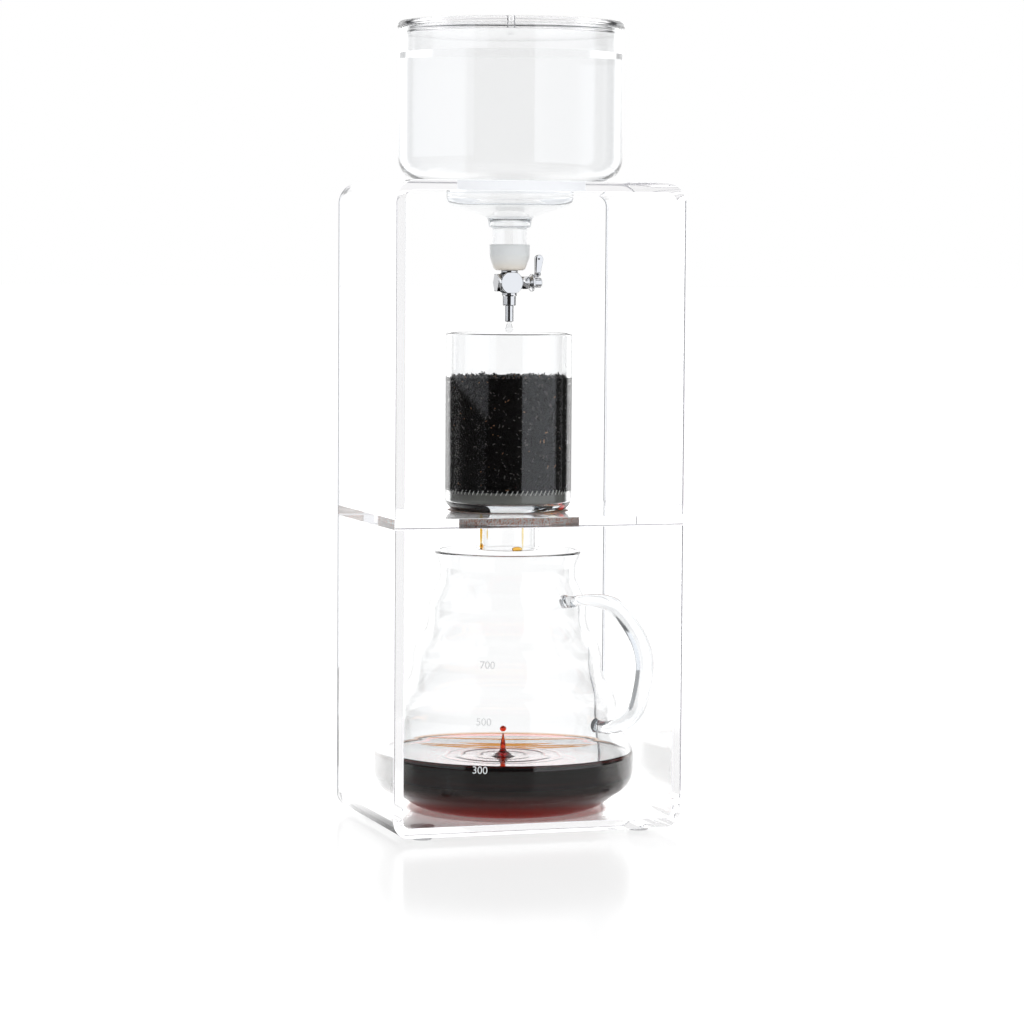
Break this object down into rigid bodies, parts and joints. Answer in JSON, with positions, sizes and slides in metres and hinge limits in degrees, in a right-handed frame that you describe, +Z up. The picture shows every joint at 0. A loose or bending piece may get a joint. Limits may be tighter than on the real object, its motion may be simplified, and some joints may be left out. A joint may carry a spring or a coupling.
{
  "type": "cold drip coffee tower",
  "caption": "Cold drip coffee tower: a clear stand holds a water tank with a drip valve over a glass strainer of ground coffee and a ribbed glass jug that slides out.",
  "frame": {"origin": "middle of the footprint, at the level of the surface that the feet stand on", "axes": "+Z up, -Y to the open front that the jug is drawn out of, +X to the lever's side"},
  "size_m": [0.148, 0.1365, 0.3995],
  "materials": {
    "acrylic": "clear polished acrylic sheet",
    "bumper": "clear soft polyurethane",
    "tank_glass": "clear blown borosilicate glass",
    "water": "clear still water",
    "lid_acrylic": "clear polished acrylic",
    "silicone": "milky translucent silicone",
    "valve_chrome": "polished chrome on brass",
    "nozzle_chrome": "polished chrome",
    "nut_chrome": "polished chrome, fine turned edges",
    "spring_steel": "bright spring steel",
    "plug_brass": "fine turned brass",
    "seal_rubber": "smooth black rubber",
    "lever_chrome": "polished chrome",
    "strainer_glass": "clear blown borosilicate glass",
    "filter_steel": "pressed stainless steel",
    "grounds": "wet dark ground coffee",
    "jug_glass": "clear blown borosilicate glass",
    "handle_glass": "clear solid glass rod",
    "coffee": "black coffee, dark red in thin layers"
  },
  "bodies": {
    "stand": {"upper_frame": "acrylic", "shelf": "acrylic", "lower_frame": "acrylic", "bumper_feet": "bumper"},
    "tank": {"water_tank": "tank_glass", "tank_water": "water", "neck_sleeve": "silicone", "valve_body": "valve_chrome", "inlet_tube": "nozzle_chrome", "drip_nozzle": "nozzle_chrome", "drip_tip": "nozzle_chrome", "end_cap": "nut_chrome", "gland_nut": "nut_chrome", "plug_spring": "spring_steel"},
    "lid": {"tank_lid": "lid_acrylic"},
    "lever": {"valve_plug": "plug_brass", "plug_seals": "seal_rubber", "lever_hub": "lever_chrome", "lever_arm": "lever_chrome"},
    "strainer": {"strainer_glass": "strainer_glass", "filter_ring": "filter_steel", "filter_mesh": "filter_steel", "coffee_grounds": "grounds"},
    "server": {"server_glass": "jug_glass", "server_handle": "handle_glass", "brewed_coffee": "coffee"}
  },
  "joints": [
    {"name": "tank_lift", "type": "slide", "parent": "stand", "child": "tank", "axis": [0, 0, 1], "range_m": [0, 0.075]},
    {"name": "lid_lift", "type": "slide", "parent": "tank", "child": "lid", "axis": [0, 0, 1], "range_m": [0, 0.03]},
    {"name": "lever_turn", "type": "hinge", "parent": "tank", "child": "lever", "pos_m": [0, 0.0056, 0.2709], "axis": [1, 0, 0], "range_deg": [0, 90]},
    {"name": "strainer_lift", "type": "slide", "parent": "stand", "child": "strainer", "axis": [0, 0, 1], "range_m": [0, 0.021]},
    {"name": "server_draw", "type": "slide", "parent": "stand", "child": "server", "axis": [0, -1, 0], "range_m": [0, 0.15]}
  ]
}
